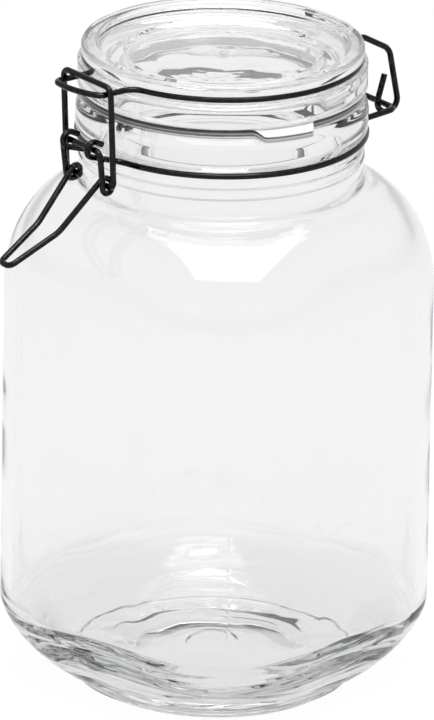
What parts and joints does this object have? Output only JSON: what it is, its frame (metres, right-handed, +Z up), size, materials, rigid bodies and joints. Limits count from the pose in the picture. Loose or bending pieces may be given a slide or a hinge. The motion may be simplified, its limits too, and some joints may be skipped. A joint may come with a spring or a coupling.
{
  "type": "clip-top glass storage jar",
  "caption": "Square clear-glass canister with rounded corners and shoulders, a round neck and a hinged glass lid that a wire lever clip pulls down on a rubber gasket.",
  "frame": {"origin": "centre of the base, on the standing plane", "axes": "+Z up along the neck; X and Y square to the flat sides; the latch faces 11 degrees from -Y towards -X"},
  "size_m": [0.137, 0.1659, 0.2373],
  "materials": {
    "clear_glass": "clear, fire polished",
    "lid_glass": "clear, pressed",
    "gasket_rubber": "pale translucent grey",
    "steel_wire": "bright plated"
  },
  "bodies": {
    "jar": {"jar": "clear_glass", "neck_wire": "steel_wire"},
    "lid": {"lid": "lid_glass", "gasket": "gasket_rubber", "lid_wire": "steel_wire"},
    "lever": {"lever": "steel_wire"},
    "link": {"link": "steel_wire"}
  },
  "joints": [
    {"name": "lid_hinge", "type": "hinge", "parent": "jar", "child": "lid", "pos_m": [0.01227, 0.06312, 0.2045], "axis": [-0.9816, 0.1908, 0], "range_deg": [0, 105]},
    {"name": "lever_swing", "type": "hinge", "parent": "jar", "child": "lever", "pos_m": [-0.01191, -0.06125, 0.2111], "axis": [-0.9816, 0.1908, 0], "range_deg": [0, 120]},
    {"name": "link_swing", "type": "hinge", "parent": "lever", "child": "link", "pos_m": [-0.01111, -0.05718, 0.19752], "axis": [-0.9816, 0.1908, 0], "range_deg": [-108, 0]}
  ],
  "couplings": [
    {"joint": "link_swing", "follows": "lever_swing", "ratio": -0.9}
  ]
}
